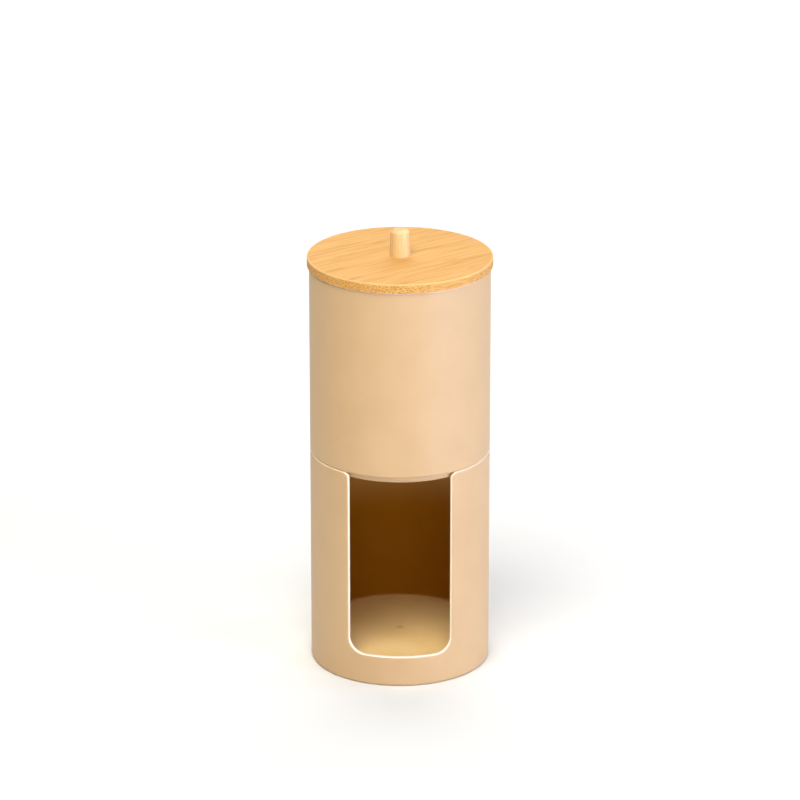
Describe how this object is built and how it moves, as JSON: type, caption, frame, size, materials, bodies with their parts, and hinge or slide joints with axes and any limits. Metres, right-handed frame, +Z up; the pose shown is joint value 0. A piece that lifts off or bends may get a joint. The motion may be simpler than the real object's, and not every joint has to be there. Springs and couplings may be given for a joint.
{
  "type": "stacking dispenser canister",
  "caption": "Round two-tier bathroom container: a front-slotted dispenser for flat pads, a swab jar nested in its rim, and a turned bamboo lid with a peg knob.",
  "frame": {"origin": "centre of the ring that the closed container stands on", "axes": "+Z up along the round axis, -Y towards the front slot, +X to the right of someone facing the slot"},
  "size_m": [0.087, 0.087, 0.2135],
  "materials": {
    "matte_beige_plastic": "matte",
    "bamboo": "satin",
    "pale_wood": "satin"
  },
  "bodies": {
    "dispenser": {"dispenser_body": "matte_beige_plastic"},
    "jar": {"jar_body": "matte_beige_plastic"},
    "lid": {"lid_disc": "bamboo", "lid_knob": "pale_wood"}
  },
  "joints": [
    {"name": "jar_lift", "type": "slide", "parent": "dispenser", "child": "jar", "axis": [0, 0, 1], "range_m": [0, 0.028]},
    {"name": "lid_lift", "type": "slide", "parent": "jar", "child": "lid", "axis": [0, 0, 1], "range_m": [0, 0.0265]}
  ]
}
